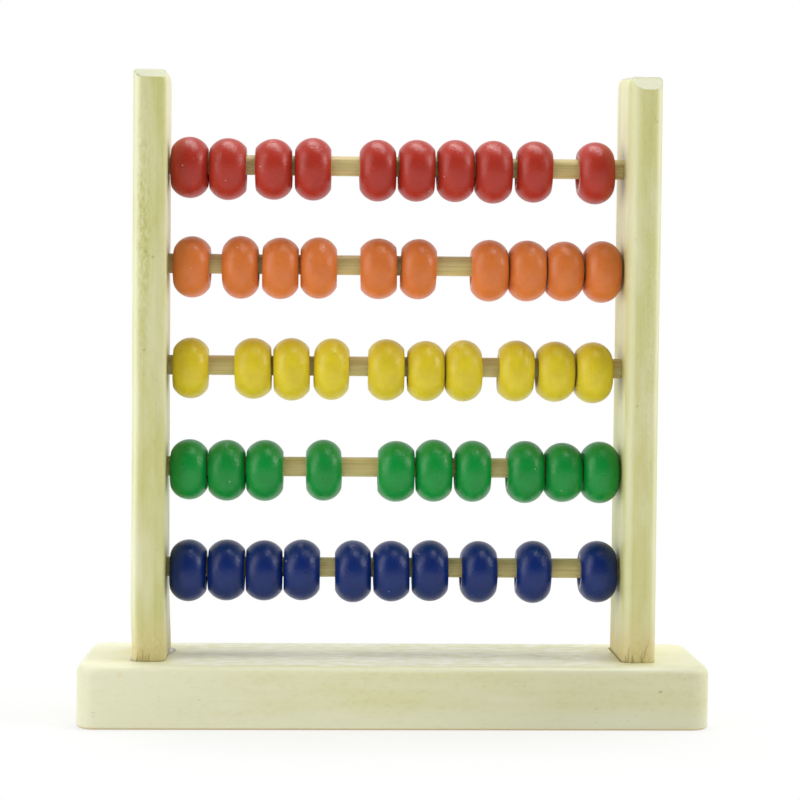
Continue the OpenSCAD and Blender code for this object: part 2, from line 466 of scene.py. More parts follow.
def paint_patterns(tree):
    """Patterns in the paint, by name."""
    place = add_node(tree, "ShaderNodeTexCoord", {}).outputs["Object"]
    patterns = {}
    for mark in PAINT_MARKS:
        patterns[mark] = add_node(tree, "ShaderNodeAttribute", {}, attribute_name=mark).outputs["Fac"]
    for pattern, size, detail in (("clouds", CLOUD, 3.0), ("peel", PEEL, 2.0)):
        cloud = {"Vector": place, "Scale": 1 / (size * MM), "Detail": detail, "Roughness": 0.6}
        patterns[pattern] = add_node(tree, "ShaderNodeTexNoise", cloud).outputs["Fac"]
    cells = add_node(tree, "ShaderNodeTexVoronoi",
                     {"Vector": place, "Scale": 1 / (PORE_SPACING * MM), "Randomness": 1.0}).outputs
    patterns["from_pore"] = cells["Distance"]
    lots = add_node(tree, "ShaderNodeSeparateColor", {"Color": cells["Color"]}).outputs
    patterns["pore_lot"], patterns["nick_lot"] = lots["Green"], lots["Blue"]
    return patterns


print(len(PAINT_RANGES), "shares in the paint")

# %% Paint materials
BARE_WOOD = "#e2d6b0"
# roughness from the glossiest to the dullest places
PAINT_ROUGHNESS, PAINT_IOR = (0.27, 0.36), 1.43
# how far the orange peel stands up in millimetres, and how deep a dimple lies beside it
PEEL_RELIEF, DIMPLE_SUNK = 0.13, -0.6


def satin_paint(name, body, deep, rubbed):
    """Satin enamel on turned wood: its main colour, a deeper one for thick places and a paler one for
    rubbed edges."""
    material, tree, shader = new_material(name)
    patterns = paint_patterns(tree)
    shares = layer_shares(tree, patterns, PAINT_RANGES, PAINT_MASKS)
    thick = {0: shares["thick"], 1: patterns["tone"]}
    shares["thick"] = add_node(tree, "ShaderNodeMath", thick, operation="ADD", use_clamp=True).outputs[0]
    tints = {"thick": deep, "rubbed": rubbed, "nick": BARE_WOOD}
    tree.links.new(coat_with(tree, colour(body), shares, tints), shader.inputs["Base Color"])

    glossy, dull = PAINT_ROUGHNESS
    shine = {"Value": patterns["clouds"], 1: 0.3, 2: 0.7, 3: glossy, 4: dull}
    tree.links.new(add_node(tree, "ShaderNodeMapRange", shine).outputs[0], shader.inputs["Roughness"])
    shader.inputs["IOR"].default_value = PAINT_IOR
    relief = {0: shares["dimple"], 1: DIMPLE_SUNK, 2: patterns["peel"]}
    relief = add_node(tree, "ShaderNodeMath", relief, operation="MULTIPLY_ADD").outputs[0]
    bump = add_node(tree, "ShaderNodeBump", {"Height": relief, "Strength": 0.8, "Distance": PEEL_RELIEF * MM})
    tree.links.new(bump.outputs["Normal"], shader.inputs["Normal"])
    return material


paints = {
    "red": satin_paint("red_satin_enamel_dipped", "#b0301f", "#9f2418", "#cf8474"),
    "orange": satin_paint("orange_satin_enamel_dipped", "#dc7a38", "#ca6628", "#e6ad7c"),
    "yellow": satin_paint("yellow_satin_enamel_dipped", "#e2cd2a", "#cdb31c", "#e9de88"),
    "green": satin_paint("green_satin_enamel_dipped", "#049238", "#037e2e", "#6fb482"),
    "blue": satin_paint("blue_satin_enamel_dipped", "#03276f", "#021d5c", "#54679c"),
}
print("paints", ", ".join(paints))

# %% [markdown]
# ## Dried glue
# The feet are glued into the board, and a little white glue was squeezed out round the left one and
# dried. It is slightly see-through, so light goes into it and comes out again about a millimetre away,
# which makes it paler than paint of the same colour.

# %% Glue material
GLUE_LUMP = 1.2
GLUE_RANGES = {"yellowed": ("lumps", 0.35, 0.7, 1.0)}
GLUE_ROUGHNESS, GLUE_IOR, GLUE_RELIEF = 0.35, 1.47, 0.1
# how far each of red, green and blue light goes, as shares of a depth in millimetres
GLUE_REACH, GLUE_DEPTH = (1, 1, 0.9), 1.5


def dried_glue(name, fresh, yellowed):
    """White glue in two tints that lets light through."""
    material, tree, shader = new_material(name)
    place = add_node(tree, "ShaderNodeTexCoord", {}).outputs["Object"]
    lumps = {"Vector": place, "Scale": 1 / (GLUE_LUMP * MM), "Detail": 2.0}
    lumps = add_node(tree, "ShaderNodeTexNoise", lumps).outputs["Fac"]
    shares = layer_shares(tree, {"lumps": lumps}, GLUE_RANGES)
    tint = coat_with(tree, colour(fresh), shares, {"yellowed": yellowed})
    tree.links.new(tint, shader.inputs["Base Color"])
    for socket, value in (("Roughness", GLUE_ROUGHNESS), ("IOR", GLUE_IOR), ("Subsurface Weight", 1.0),
                          ("Subsurface Radius", GLUE_REACH), ("Subsurface Scale", GLUE_DEPTH * MM)):
        shader.inputs[socket].default_value = value
    bump = add_node(tree, "ShaderNodeBump", {"Height": lumps, "Strength": 0.5, "Distance": GLUE_RELIEF * MM})
    tree.links.new(bump.outputs["Normal"], shader.inputs["Normal"])
    return material


glue = dried_glue("white_wood_glue_dried", "#fdfde8", "#f1f1d8")
print("glue material", glue.name)

# %% [markdown]
# ## Blocks with sanded edges
# The board and both uprights are the same kind of form: a rectangular block whose upright corners are
# round and whose top and bottom edges are eased with sandpaper. A cube with a Bevel modifier would do,
# but then every edge would be equally perfect. Here the outline is one formula and the edge is another,
# so the sanding can be made a little uneven.

# %% Eased blocks
# points round an eased edge, across an underside and across a top
EDGE_STEPS, UNDER_STEPS, TOP_STEPS = 10, 12, 26


def outline_columns(along_x, along_y, round_corner):
    """Where the columns of a block stand on its outline, counter-clockwise from the right-hand side: two
    weights from -1 to 1 along x and y, and the direction that the outline faces. On a side one weight
    runs from end to end, and round a corner only the direction turns."""
    run_x = np.linspace(-1, 1, along_x, endpoint=False)
    run_y = np.linspace(-1, 1, along_y, endpoint=False)
    turn = np.linspace(0, np.pi / 2, round_corner, endpoint=False)
    one_x, one_y, one_turn = np.ones(along_x), np.ones(along_y), np.ones(round_corner)
    weight_x = np.concatenate([one_y, one_turn, -run_x, -one_turn, -one_y, -one_turn, run_x, one_turn])
    weight_y = np.concatenate([run_y, one_turn, one_x, one_turn, -run_y, -one_turn, -one_x, -one_turn])
    facing = []
    for quarter, flat in enumerate((one_y, one_x, one_y, one_x)):
        facing += [0 * flat + quarter * np.pi / 2, turn + quarter * np.pi / 2]
    return weight_x, weight_y, np.concatenate(facing)


def edge_profile(low, high, foot_round, top_round, reach, side):
    """From the underside out to its edge, round it, up the side, round the top edge and in over the top.
    The profile begins and ends at this reach in from the outline. Gives the inset, the height and the
    tilt of the surface (-90 degrees faces down)."""
    t = np.linspace(0, np.pi / 2, EDGE_STEPS)
    under = np.linspace(reach, foot_round, UNDER_STEPS)[:-1]
    over = np.linspace(top_round, reach, TOP_STEPS)[1:]
    foot, head = foot_round * (1 - np.sin(t)), top_round * (1 - np.cos(t))
    inset = np.concatenate([under, foot, 0 * side, head, over])
    height = np.concatenate([0 * under + low, low + foot_round * (1 - np.cos(t)), side,
                             high - top_round * (1 - np.sin(t)), 0 * over + high])
    tilt = np.concatenate([0 * under - np.pi / 2, t - np.pi / 2, 0 * side, t, 0 * over + np.pi / 2])
    return inset, height, tilt


def eased_block(size, corner, top_round, columns, profile):
    """Points of a block and the way each faces. The outline is drawn at each step of the profile, smaller
    by the inset. Within the rounded edge its corners keep their centres, and past it the outline shrinks
    onto the block's middle."""
    weight_x, weight_y, facing = columns
    inset, height, tilt = (values[:, None] for values in profile)
    reach = min(size[0], size[1]) / 2
    shrunk = (corner - top_round) * (reach - inset) / (reach - top_round)
    radius = np.where(inset <= top_round, corner - inset, shrunk)
    x = weight_x * (size[0] / 2 - inset - radius) + radius * np.cos(facing)
    y = weight_y * (size[1] / 2 - inset - radius) + radius * np.sin(facing)
    points = np.stack([x, y, height + 0 * x], axis=-1)
    out = np.cos(tilt)
    normals = np.stack([out * np.cos(facing), out * np.sin(facing), np.sin(tilt) + 0 * x], axis=-1)
    return points, normals


print("the outline of a small block has", len(outline_columns(8, 12, 12)[0]), "columns")

# %% Cuts and spots
SHARP_CUT = math.radians(50)


def cut_away(piece, cutter):
    """Takes the cutter's room out of the piece with an exact Boolean, and keeps the new edges sharp."""
    tool = piece.modifiers.new("cut", "BOOLEAN")
    tool.object, tool.solver = cutter, "EXACT"
    seen = piece.evaluated_get(bpy.context.evaluated_depsgraph_get())
    finished = bpy.data.meshes.new_from_object(seen)
    piece.modifiers.clear()
    piece.data = finished
    finished.set_sharp_from_angle(angle=SHARP_CUT)
    bpy.data.objects.remove(cutter)


def spots(points, places, size):
    """1 near each of a few places and fading to 0 at this distance from it, in millimetres."""
    gap = np.linalg.norm(points[..., None, :] - np.array(places), axis=-1).min(axis=-1)
    return 1 - fade(gap, 0.3 * size, size)


print("a spot of 1 mm is at", spots(np.zeros(3), [(0.5, 0, 0)], 1.0).round(2), "half a millimetre away")

# %% [markdown]
# ## The board
# The board is a thick sawn block with a larger round-over along its top than along its foot. Its profile
# stops a little way in from the edges, and one flat face closes the top and another the underside: a
# plain face is cut more cleanly than a grid. Sanding leaves long shallow waves, and takes a little more
# off the top edge in some places than in others. Light and shade are painted into its colour: a painted
# highlight along the sanded top edge, a painted sheen on the top, painted light towards the left and low
# on the sides, painted shade on the right half and on the faces that look left, and a painted contact
# shadow along the foot.

# %% Board
BOARD_CORNER, BOARD_TOP_ROUND, BOARD_FOOT_ROUND, BOARD_RIM = 6.0, 2.5, 1.0, 3.6
# heights of the waves, and of what is taken off the top edge
BOARD_WAVE, BOARD_OVERSANDED = 0.10, 0.30

board_low, board_high = millimetres(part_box("board"))
board_size = board_high - board_low
board_top = board_size[2]
board_side = np.linspace(BOARD_FOOT_ROUND, board_top - BOARD_TOP_ROUND, 30)[1:-1]
board_profile = edge_profile(0.0, board_top, BOARD_FOOT_ROUND, BOARD_TOP_ROUND, BOARD_RIM, board_side)
board_columns = outline_columns(290, 50, 16)
points, normals = eased_block(board_size, BOARD_CORNER, BOARD_TOP_ROUND, board_columns, board_profile)

tilt = board_profile[2]
upper_edge = np.exp(-((tilt - np.pi / 4) / 0.5) ** 2)[:, None]
oversanded = BOARD_OVERSANDED * upper_edge * fade(ripple(points, 30, 2), -0.6, 0.8)
sanding = BOARD_WAVE * ripple(points, 45, 1) - oversanded
sides_only = np.cos(tilt)[:, None] * fade(points[..., 2], 0.2, 3.0)
points = points + normals * (sanding * sides_only)[..., None]
print("board", board_size.round(2), "mm, sanded by up to", abs(sanding).max().round(2), "mm")

# %% Board marks
RESIN_SPOT, PIN_KNOT = (-81.2, -22, 16.3), (79.1, -22, 11.8)
# where marks begin and end is given in millimetres, along x from the middle and along z from the table
x, z = points[..., 0], points[..., 2]
# painted shade: darker towards the right end of the top and over the right half of the sides
right_painted_shade = np.where(normals[..., 2] > 0.5, fade(x, 70, 84), fade(x, -10, 60))
marks = {
    # painted shade: below 0.75 mm the stain tint paints a brown contact shadow along the foot; the resin spot
    # is a real stain
    "stain_and_painted_shade": np.maximum(0.30 * sides_only * spots(points, [RESIN_SPOT], 1.2), 0.9 * fade(z, 0.75, 0.45)),
    "tear": 0.25 * sides_only * fade(ripple(points, 25, 3), 0.1, 0.9),
    # painted shade: below 0.5 mm the crack tint paints a dark contact shadow along the foot; the pin knot is
    # real
    "crack_and_painted_shade": np.maximum(0.7 * sides_only * spots(points, [PIN_KNOT], 0.55), 0.35 * fade(z, 0.5, 0.3)),
    # paler as painted light: a painted highlight along the top round-over, which is also sanded paler there,
    # a painted sheen on the top face, painted light towards the left end from the left lamp, and a painted
    # glow from the floor low on the sides
    "edge": np.maximum.reduce([0.6 * upper_edge + 0 * x, 0.35 * fade(normals[..., 2], 0.9, 1.0),
                               0.55 * fade(x, 10, -90), 0.55 * fade(z, 9, 2)]),
    # painted shade, darker on those places and on the faces that look left
    "painted_shade": 0.28 * np.maximum(right_painted_shade, fade(normals[..., 0], -0.2, -0.8)),
}
index = np.arange(x.size).reshape(x.shape)
board = add_piece("board_wood", points, ring_faces(*x.shape), marks, caps=(index[0, ::-1], index[-1]))
print("board", round(volume(board.data)), "cubic mm before its mortises are cut")

# %% [markdown]
# ## The mortises
# The two mortises for the uprights' feet are cut with a Boolean by blocks of the foot's own outline, a
# glue gap larger all round. The right one was cut too wide on its inner side, which leaves the dark slit
# beside that foot. The left upright stands a little askew, as thin stock does that twisted as it dried,
# and its mortise turns with it.

# %% Mortises
UPRIGHT_CORNER, UPRIGHT_TOP_ROUND, UPRIGHT_FOOT_ROUND = 3.0, 1.0, 0.5
GLUE_GAP, POCKET_EASE, POCKET_OVERCUT = 0.12, 0.3, 2
OPEN_SLIT = {"left": 0.0, "right": 0.4}
# the way from each upright to the beads
INWARDS = {"left": 1, "right": -1}
# each upright's move in millimetres and turn in degrees, at the board and at its top
HEEL = {"left": (0.3, 0.8), "right": (0.0, 0.0)}
CROWN = {"left": (-0.2, 1.7), "right": (0.0, 0.0)}
# heights above the board where the move and the turn have changed from the heel's to the crown's
MOVE_REACH, TURN_REACH = 18, 80


def warp(points, heel, crown):
    """Moves a piece sideways and turns it about its own upright middle line, by the heel's move and turn
    at the board and the crown's further up, with an S-shaped change between them."""
    x, y, z = np.moveaxis(points, -1, 0)
    move = heel[0] + (crown[0] - heel[0]) * fade(z - board_top, 0, MOVE_REACH)
    turn = np.radians(heel[1] + (crown[1] - heel[1]) * fade(z - board_top, 0, TURN_REACH))
    turned_x, turned_y = x * np.cos(turn) - y * np.sin(turn), x * np.sin(turn) + y * np.cos(turn)
    return np.stack([move + turned_x, turned_y, z], axis=-1)


upright_boxes = {side: millimetres(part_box(side + "_upright")) for side in INWARDS}
for side, (low, high) in upright_boxes.items():
    slit = OPEN_SLIT[side]
    size = high - low + 2 * GLUE_GAP + [slit, 0, 0]
    bottom, top = low[2] - GLUE_GAP, board_top + POCKET_OVERCUT
    walls = np.linspace(bottom + POCKET_EASE, top - POCKET_EASE, 4)[1:-1]
    profile = edge_profile(bottom, top, POCKET_EASE, POCKET_EASE, size[0] / 2, walls)
    pocket, _ = eased_block(size, UPRIGHT_CORNER + GLUE_GAP, POCKET_EASE, outline_columns(8, 12, 12), profile)
    pocket = warp(pocket, HEEL[side], (0.0, HEEL[side][1]))
    pocket = pocket + [(low[0] + high[0] + INWARDS[side] * slit) / 2, 0, 0]
    cut_away(board, add_piece("mortise", pocket, ring_faces(*pocket.shape[:2])))
board.data.materials.append(board_wood)
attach(board, "frame")
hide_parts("board")
print("board", len(board.data.polygons), "faces,", round(volume(board.data)), "cubic mm with its mortises")

# %% [markdown]
# ## The uprights
# Each upright is a narrow block with five blind sockets for the rods in its inner face. It was sawn
# square and finished by hand, and the steps here are the maker's. The long edges are rounded with a
# radius that wanders. The inner shoulder of the top end is rounded off, its front and back edges are
# planed at 45 degrees, and the end itself is a saw cut that is not quite square. Each step moves the
# block's points by one formula.

# %% Upright edges
SAWN_CORNER = 1.2
# radii at the foot and at the top of the inner front, outer front, inner back and outer back edges
HAND_ROUND = {
    "left": ((1.2, 1.2), (3.0, 3.2), (2.5, 2.5), (3.0, 3.0)),
    "right": ((3.2, 5.0), (2.6, 3.0), (2.5, 4.0), (3.0, 3.0)),
}
# which way those edges lie from the middle: inwards, and to the back
EDGE_ENDS = ((1, -1), (-1, -1), (1, 1), (-1, 1))


def hand_round(points, size, inwards, radii, top):
    """Rounds the four long edges of a block further. A point in the square between an edge and a round's
    middle line is drawn onto the round if it lies outside it. Each radius grows evenly from the foot to
    the top."""
    x, y, z = points[..., 0] * inwards, points[..., 1], points[..., 2]
    for (foot, head), (end_x, end_y) in zip(radii, EDGE_ENDS):
        radius = foot + (head - foot) * z / top
        from_x, from_y = x - end_x * (size[0] / 2 - radius), y - end_y * (size[1] / 2 - radius)
        far = np.hypot(from_x, from_y)
        outside = (from_x * end_x > 0) & (from_y * end_y > 0) & (far > radius)
        pull = np.where(outside, radius / np.maximum(far, 0.001) - 1, 0)
        x, y = x + from_x * pull, y + from_y * pull
    return np.stack([x * inwards, y, z], axis=-1)


print("long edges rounded to between", np.min(list(HAND_ROUND.values())), "and",
      np.max(list(HAND_ROUND.values())), "mm")

# %% Upright top ends
# how far the inner edge of each top end is rounded off, across and down
SHOULDER = {"left": (0.8, 3.4), "right": (1.8, 3.4)}
TOP_BEVEL = {"left": 2.5, "right": 4.2}
TOP_CLIMB = {"left": 1.5, "right": 2.2}
BEVEL_REACH = 8


def shoulder(points, half_width, inwards, across, down, top):
    """Rounds off the inner edge of a top end. Over the last few millimetres the inner side is drawn in
    along a quarter of an ellipse, and the rest less and less towards the middle."""
    up = np.clip((points[..., 2] - top) / down + 1, 0, 1)
    share = np.clip(points[..., 0] * inwards / half_width, 0, 1)
    return points - np.stack([inwards * across * share * (1 - np.sqrt(1 - up**2)), 0 * up, 0 * up], axis=-1)


def bevel_top(points, rim, depth, top, bevel, climb):
    """Lowers what stands above two planes that slope up at 45 degrees from the front and back faces, this
    bevel below the top. Rim is the y that each point's cut is measured from. Points on the sides are
    drawn together over the last few millimetres, so that their rows end at the plane. The end itself
    climbs from front to back."""
    height, side_end, start = points[..., 2], top - UPRIGHT_TOP_ROUND, top - BEVEL_REACH
    plane = top - bevel + depth / 2 - np.abs(rim)
    drawn = start + (height - start) * (np.minimum(side_end, plane) - start) / (side_end - start)
    below = np.where(height > start, drawn, height)
    height = np.where(height > side_end, np.minimum(height, plane), below)
    share = np.clip(points[..., 1] / (depth - 2 * bevel) + 0.5, 0, 1)
    rise = climb * share * fade(height, start, top - bevel)
    return np.stack([points[..., 0], points[..., 1], height + rise], axis=-1)


print("top ends climb", TOP_CLIMB["left"], "and", TOP_CLIMB["right"], "mm to the back")

# %% [markdown]
# The feet show how roughly the stock was sawn: fibres are torn and split just above the board, and the
# splits are shallow grooves that open from the foot.

# %% Splits at the feet
# each split's x at the board, its height, its lean and its width in millimetres
FOOT_SPLITS = {
    "left": ((-76.6, 2.6, 0.05, 0.34), (-75.8, 2.2, -0.1, 0.34), (-75.0, 3.4, 0.0, 0.38),
             (-74.2, 2.4, 0.1, 0.34), (-73.4, 2.6, 0.15, 0.38)),
    "right": ((69.9, 2.4, 0.0, 0.38), (70.7, 4.4, 0.02, 0.30), (72.0, 3.0, 0.03, 0.34),
              (74.6, 3.4, 0.08, 0.50), (74.9, 7.0, 0.26, 0.34)),
}
SPLIT_DEPTH, SPLIT_SWAY = 0.25, 0.12


def splits(points, lines, front):
    """How open each point is to a split in the front face: 1 on its middle line, which sways as it rises,
    and fading to the sides, over a width that narrows to its top."""
    start, reach, lean, width = np.array(lines).T
    x, z = points[..., 0, None], points[..., 2, None] - board_top
    middle = start + lean * z + SPLIT_SWAY * np.sin(2.2 * z + 7 * start)
    narrow = width * (1.1 - np.clip(z / reach, 0, 1))
    gape = np.exp(-((x - middle) / narrow) ** 2) * (z < reach) * (z > -1)
    return (gape * front[..., None]).max(axis=-1)


print({side: len(lines) for side, lines in FOOT_SPLITS.items()}, "splits")

# %% Upright shape
# heights of the sanding waves, and of what is taken off the rounded edges
UPRIGHT_WAVE, UPRIGHT_OVERSANDED = 0.10, 0.20
# how far each upright's front falls away towards its inner edge
FALL_AWAY = {"left": 0.8, "right": 0.0}
# rows of points stand closer near the board: from, to and step in millimetres
FOOT_ROWS = ((18, 20, 0.1), (20, 30, 0.25))
ROW_STEP = 0.5
upright_columns = outline_columns(30, 36, 14)


def upright_shape(side, seed):
    """Points of an upright, the way each faced on the sawn block, how much wood was taken off it in
    rounding the edges, and how open it is to a split."""
    (low, high), inwards = upright_boxes[side], INWARDS[side]
    size, top = high - low, high[2]
    under = np.linspace(low[2] + UPRIGHT_FOOT_ROUND, FOOT_ROWS[0][0], 7)[1:-1]
    above = np.arange(FOOT_ROWS[-1][1], top - UPRIGHT_TOP_ROUND, ROW_STEP)
    rows = np.concatenate([under, *(np.arange(*run) for run in FOOT_ROWS), above])
    profile = edge_profile(low[2], top, UPRIGHT_FOOT_ROUND, UPRIGHT_TOP_ROUND, size[0] / 2, rows)
    squared, normals = eased_block(size, SAWN_CORNER, UPRIGHT_TOP_ROUND, upright_columns, profile)

    points = hand_round(squared, size, inwards, HAND_ROUND[side], top)
    taken = np.linalg.norm(points - squared, axis=-1) * np.cos(profile[2])[:, None]
    slope = np.clip((points[..., 0] - 0.5) / 4.5, 0, 1) ** 2
    points[..., 1] += FALL_AWAY[side] * slope * fade(points[..., 1], -6, -14)
    oversanded = UPRIGHT_OVERSANDED * fade(taken, 0, 0.6) * fade(ripple(points, 22, 21 + seed), -0.8, 0.6)
    sanding = UPRIGHT_WAVE * ripple(points, 40, 11 + seed) - oversanded
    points = points + normals * (sanding * fade(points[..., 2], 20, 40))[..., None]

    points = shoulder(points, size[0] / 2, inwards, *SHOULDER[side], top)
    # the left bevel was planed before the long edges were rounded, and so its lower edge is straight
    rim = (squared if side == "left" else points)[..., 1]
    points = bevel_top(points, rim, size[1], top, TOP_BEVEL[side], TOP_CLIMB[side])
    points = warp(points, HEEL[side], CROWN[side]) + [(low[0] + high[0]) / 2, 0, 0]
    split = splits(points, FOOT_SPLITS[side], fade(normals[..., 1], -0.2, -0.6))
    return points - normals * (SPLIT_DEPTH * split)[..., None], normals, taken, split


upright_shapes = {side: upright_shape(side, seed) for seed, side in enumerate(INWARDS)}
print("uprights of", [shape[0].shape[:2] for shape in upright_shapes.values()], "rows and columns")

# %% [markdown]
# The marks say where the wood of an upright differs: stained and torn at its foot, torn along a band of
# the front, darker in a thin uneven line where it meets the board, with pin knots, paler where edges were
# rounded, which is partly a painted highlight, lighter towards the top of the inner face as painted
# light, and darker on its upward-facing top end as painted shade.

# %% Upright marks
FOOT_STAIN = {"left": 0.55, "right": 0.60}
# middle of each torn band along x and z, its reach up and down, and how torn it is
TORN_BAND = {"left": (-75.8, 150.0, 34.0, 0.9), "right": (75.5, 120.0, 60.0, 0.35)}
BAND_WIDTH, FOOT_LINE_HEIGHT = 2.4, 0.25
PIN_KNOTS = {
    "left": ((-74.8, -14.5, 141.2), (-72.6, -14.5, 139.6), (-75.1, -14.5, 112.0)),
    "right": ((77.2, -14.5, 181.5), (72.2, -14.5, 96.4)),
}
# how much the inner face is lightened towards its top, as painted light, and how pale the rounded edges
# are on the inner and on the outer side, sanded paler and partly a painted highlight
PAINTED_LIGHT_INSIDE = {"left": 0.3, "right": 0.2}
PALE_EDGES_AND_HIGHLIGHT = {"left": (0.6, 0.6), "right": (0.3, 0.6)}


def upright_marks(side, seed, points, normals, taken, split):
    """Marks of an upright by name, each from 0 to 1."""
    (low, high), inwards = upright_boxes[side], INWARDS[side]
    x, z = points[..., 0], points[..., 2]
    above_board = z - board_top
    front = fade(normals[..., 1], -0.2, -0.6)
    inner_face = fade(normals[..., 0] * inwards, 0.5, 0.9)
    sanded_pale_and_highlight = np.where((x - (low[0] + high[0]) / 2) * inwards > 0, *PALE_EDGES_AND_HIGHLIGHT[side])
    band_x, band_z, band_reach, band_share = TORN_BAND[side]
    band = np.exp(-((x - band_x) / BAND_WIDTH) ** 2 - ((z - band_z) / band_reach) ** 2)
    # darker in a thin uneven line where the foot meets the board
    foot_line = np.exp(-(above_board / FOOT_LINE_HEIGHT) ** 2) * fade(ripple(points, 2.5, 41 + seed), -0.8, 0.4)
    return {
        "stain_and_painted_shade": FOOT_STAIN[side] * (1 - fade(above_board + 3 * ripple(points, 6, 31 + seed), 2, 18)),
        "tear": np.maximum(band_share * front * band, 0.6 * (1 - fade(above_board, 3, 12))),
        "crack_and_painted_shade": np.maximum.reduce([0.3 * split, 0.45 * spots(points, PIN_KNOTS[side], 0.55), 0.4 * foot_line]),
        # the rounded edges are sanded paler and carry a painted highlight, and the inner face has painted
        # light towards its top
        "edge": np.maximum(sanded_pale_and_highlight * fade(taken, 0.0, 0.9),
                           PAINTED_LIGHT_INSIDE[side] * inner_face * fade(above_board, 20, 160)),
        # painted shade: faces that look upwards, the top end and its bevels, are darker in colour
        "painted_shade": fade(normals[..., 2], 0.15, 0.45),
    }


print("marks", ", ".join(WOOD_MARKS))

# %% [markdown]
# The five sockets of an upright are cut in one go, by five cylinders that begin just outside the inner
# face and end at the bottom of their sockets.

# %% Uprights
SOCKET_RADIUS, SOCKET_DEPTH, SOCKET_OVERCUT, SOCKET_SIDES = 3.08, 7.0, 1.0, 48
rod_boxes = {row: millimetres(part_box(row + "_rod")) for row in ROWS}


def socket_cutter(side):
    """Five cylinders in one object. Each is four rings: a middle point, the rim, the rim at the bottom of
    the socket and its middle point."""
    (low, high), inwards = upright_boxes[side], INWARDS[side]
    face_x = high[0] if side == "left" else low[0]
    turn = np.linspace(0, 2 * np.pi, SOCKET_SIDES, endpoint=False)
    across = np.array([0, 1, 1, 0])[:, None] * SOCKET_RADIUS
    ends = np.array([SOCKET_OVERCUT, SOCKET_OVERCUT, -SOCKET_DEPTH, -SOCKET_DEPTH])[:, None]
    tube = np.stack([face_x + inwards * ends + 0 * turn, inwards * across * np.cos(turn),
                     across * np.sin(turn)], axis=-1)
    heights = np.array([(low[2] + high[2]) / 2 for low, high in rod_boxes.values()])
    tubes = tube + np.stack([0 * heights, 0 * heights, heights], axis=-1)[:, None, None, :]
    first_points = 4 * SOCKET_SIDES * np.arange(len(ROWS))[:, None, None]
    faces = ring_faces(4, SOCKET_SIDES)[:, ::-1] + first_points
    return add_piece("sockets", tubes, faces.reshape(-1, 4))


for seed, (side, shape) in enumerate(upright_shapes.items()):
    points = shape[0]
    faces = ring_faces(*points.shape[:2])
    upright = add_piece(side + "_upright_wood", points, faces, upright_marks(side, seed, *shape))
    cut_away(upright, socket_cutter(side))
    upright.data.materials.append(upright_wood[side])
    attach(upright, "frame")
    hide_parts(side + "_upright")
    print(upright.name, len(upright.data.polygons), "faces,", round(volume(upright.data)), "cubic mm")

# %% [markdown]
# ## The rods
# A rod is a dowel with a small chamfer at both ends, glued into its sockets. Bamboo is never quite round,
# because the knife follows the fibres, so the radius drops a few hundredths of a millimetre along
# straight shallow grooves. A cylinder could be bent and scratched by hand, but a radius that is a sum of
# cosines of the turn does it in one line.

# %% Rods
ROD_CHAMFER, ROD_ROWS = 0.5, 60
# the grooves repeat this many times round the rod, and take this share of the radius
GROOVE_COUNTS, GROOVE_DEPTH = np.arange(3, 24), 0.012
SHARP_ROD = math.radians(30)
# where the waves round a rod or a bead begin is drawn from a full turn, in radians
FULL_TURN = 6.28
rod_turn = np.linspace(0, 2 * np.pi, 72, endpoint=False)
for seed, (row, (low, high)) in enumerate(rod_boxes.items()):
    middle, radius, length = (low + high) / 2, (high[2] - low[2]) / 2, high[0] - low[0]
    tip = radius - ROD_CHAMFER
    straight = np.linspace(ROD_CHAMFER, length - ROD_CHAMFER, ROD_ROWS)
    along = np.concatenate([[0, 0], straight, [length, length]])[:, None]
    reach = np.concatenate([[0, tip], np.full(ROD_ROWS, radius), [tip, 0]])[:, None]
    phases = np.random.default_rng(40 + seed).uniform(0, FULL_TURN, len(GROOVE_COUNTS))
    grooves = np.cos(GROOVE_COUNTS[:, None] * rod_turn + phases[:, None]).mean(axis=0)
    reach = reach * (1 - GROOVE_DEPTH * fade(grooves, 0.0, 0.35))
    points = np.stack([low[0] + along + 0 * reach, middle[1] + reach * np.cos(rod_turn),
                       middle[2] + reach * np.sin(rod_turn)], axis=-1)
    rod = add_piece(row + "_rod_bamboo", points, ring_faces(*points.shape[:2]))
    rod.data.set_sharp_from_angle(angle=SHARP_ROD)
    rod.data.materials.append(bamboo)
    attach(rod, "frame")
    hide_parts(row + "_rod")
    print(rod.name, round(length, 1), "mm long,", round(volume(rod.data)), "cubic mm")

# %% [markdown]
# ## The beads
# A bead is turned on a lathe, so it is one section spun about the hole: a straight bore, a small chamfer
# at its mouths, a flat on each side, and one round arc over the rim. A squashed sphere with a hole cut
# through it would have neither the flats nor the chamfers. The section is a closed loop and so is the
# turn, which makes the surface a torus with no poles.

# %% Bead section
BORE_CHAMFER, FLAT_EASE = 0.4, 0.25
RIM_STEPS, EASE_STEPS, CHAMFER_STEPS = 25, 8, 4
# how far the worn edge of a flat reaches
RUB_REACH = 0.7


